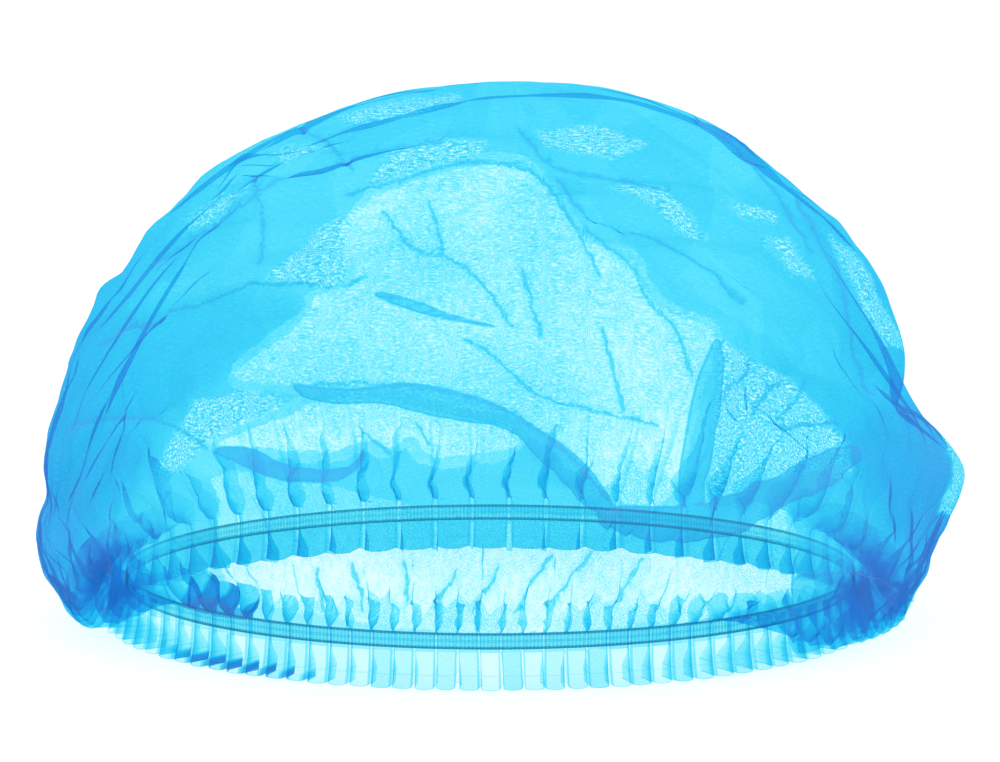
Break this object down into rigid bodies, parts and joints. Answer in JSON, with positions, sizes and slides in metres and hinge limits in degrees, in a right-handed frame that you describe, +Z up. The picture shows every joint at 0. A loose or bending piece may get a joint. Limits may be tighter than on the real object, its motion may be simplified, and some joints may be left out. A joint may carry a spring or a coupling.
{
  "type": "disposable bouffant cap",
  "caption": "Sheer gathered bouffant cap of thin nonwoven cloth with an elastic rim and a short frill, standing open on its hem.",
  "frame": {"origin": "middle of the cap's box, on the floor that its hem stands on", "axes": "+Z up to the top of the crown, +X to the right end of the rim, the front of the cap towards -Y"},
  "size_m": [0.2596, 0.22, 0.151],
  "materials": {
    "nonwoven": "sheer sky-blue spunbond cloth, matt, deeper blue where it doubles over",
    "nonwoven_frill": "the same cloth in one pleated layer",
    "elastic": "narrow stretch braid, matt"
  },
  "bodies": {
    "root": {"crown": "nonwoven", "ruffle": "nonwoven_frill", "elastic_band": "elastic", "elastic_joint": "elastic"}
  },
  "joints": []
}
